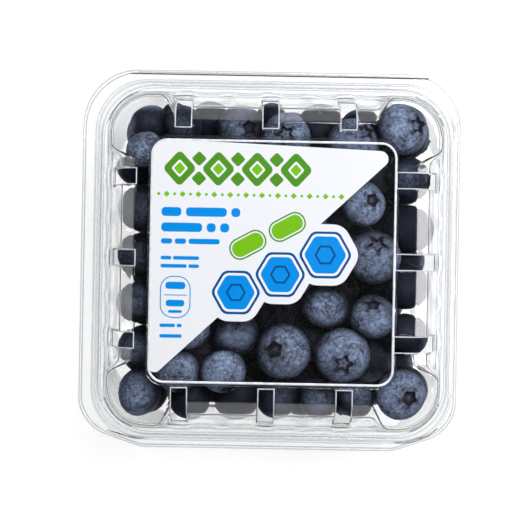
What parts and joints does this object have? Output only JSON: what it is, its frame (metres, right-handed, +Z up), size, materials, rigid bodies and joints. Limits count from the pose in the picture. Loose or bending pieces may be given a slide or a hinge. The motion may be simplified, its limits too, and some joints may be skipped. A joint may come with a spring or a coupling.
{
  "type": "punnet of blueberries",
  "caption": "Clear hinged punnet with a tapered tray, a domed lid with corner lobes and vents, and a film label, filled with round dark blue berries.",
  "frame": {"origin": "on the surface the tray stands on, under the middle of the pack's box", "axes": "+Z up, +Y towards the hinge, +X to the right as the label is seen from above with the hinge at the far side"},
  "size_m": [0.1262, 0.1262, 0.06],
  "materials": {
    "clear_sheet": "clear, glossy thermoformed sheet",
    "film_label": "glossy printed film",
    "berry_skin": "dark blue skin with a pale waxy bloom"
  },
  "bodies": {
    "tray": {"tray": "clear_sheet", "berries": "berry_skin"},
    "lid": {"lid": "clear_sheet", "label": "film_label"}
  },
  "joints": [
    {"name": "lid_hinge", "type": "hinge", "parent": "tray", "child": "lid", "pos_m": [0, 0.0634, 0.03815], "axis": [-1, 0, 0], "range_deg": [0, 180]}
  ]
}
